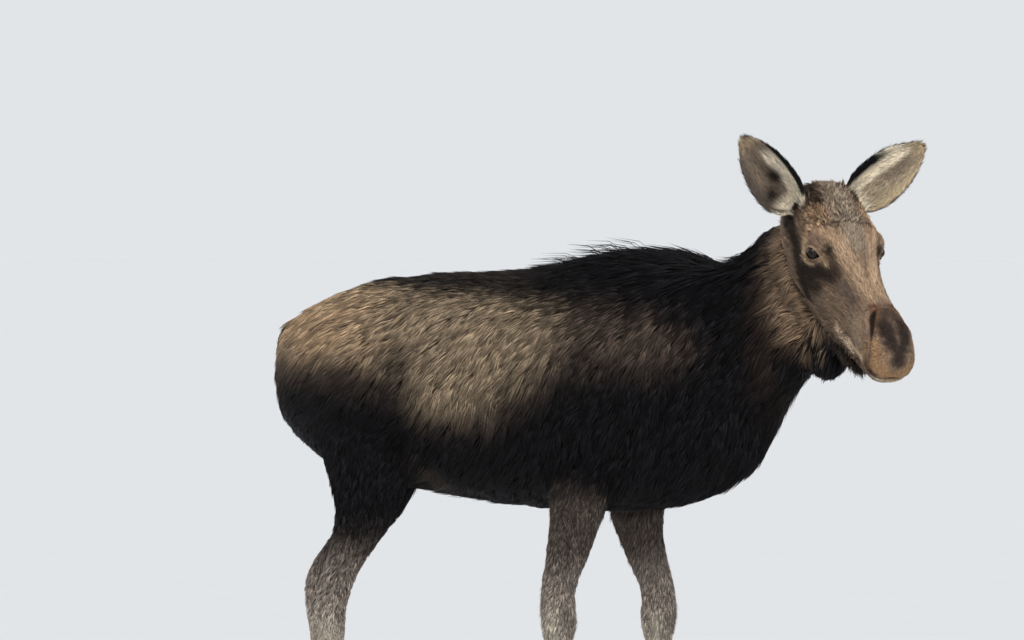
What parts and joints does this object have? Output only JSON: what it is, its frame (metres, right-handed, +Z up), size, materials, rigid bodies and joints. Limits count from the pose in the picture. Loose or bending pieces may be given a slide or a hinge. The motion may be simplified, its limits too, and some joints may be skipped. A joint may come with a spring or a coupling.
{
  "type": "cow moose, still model",
  "caption": "Life-size still model of a cow moose in winter coat, standing with her head turned to her right and her ears forward.",
  "frame": {"origin": "middle of the model's plan, on the floor under the hooves", "axes": "+X the way the body faces, +Y towards the animal's left, +Z up"},
  "size_m": [2.2631, 0.8413, 2.121],
  "materials": {
    "flank_coat": "long grizzled winter hair",
    "dark_coat": "black-brown winter hair",
    "face_coat": "short grey-brown hair",
    "cheek_coat": "short dark brown hair",
    "shank_coat": "short pale grey hair",
    "ear_coat": "cream hair inside, dark hair behind",
    "horn": "dark hoof horn",
    "eye": "dark wet eye"
  },
  "bodies": {
    "root": {"trunk": "flank_coat", "neck": "dark_coat", "tail": "flank_coat", "bell": "dark_coat", "head": "face_coat", "muzzle": "face_coat", "jaw": "cheek_coat", "eye_left": "eye", "eye_right": "eye", "ear_left": "ear_coat", "ear_right": "ear_coat", "foreleg_right_forearm": "dark_coat", "foreleg_right_cannon": "shank_coat", "foreleg_right_pastern": "shank_coat", "foreleg_right_dewclaw_inner": "horn", "foreleg_right_hoof_inner": "horn", "foreleg_right_dewclaw_outer": "horn", "foreleg_right_hoof_outer": "horn", "foreleg_left_forearm": "dark_coat", "foreleg_left_cannon": "shank_coat", "foreleg_left_pastern": "shank_coat", "foreleg_left_dewclaw_inner": "horn", "foreleg_left_hoof_inner": "horn", "foreleg_left_dewclaw_outer": "horn", "foreleg_left_hoof_outer": "horn", "hindleg_right_thigh": "dark_coat", "hindleg_right_gaskin": "shank_coat", "hindleg_right_cannon": "shank_coat", "hindleg_right_pastern": "shank_coat", "hindleg_right_dewclaw_inner": "horn", "hindleg_right_hoof_inner": "horn", "hindleg_right_dewclaw_outer": "horn", "hindleg_right_hoof_outer": "horn", "hindleg_left_thigh": "dark_coat", "hindleg_left_gaskin": "shank_coat", "hindleg_left_cannon": "shank_coat", "hindleg_left_pastern": "shank_coat", "hindleg_left_dewclaw_inner": "horn", "hindleg_left_hoof_inner": "horn", "hindleg_left_dewclaw_outer": "horn", "hindleg_left_hoof_outer": "horn"}
  },
  "joints": []
}
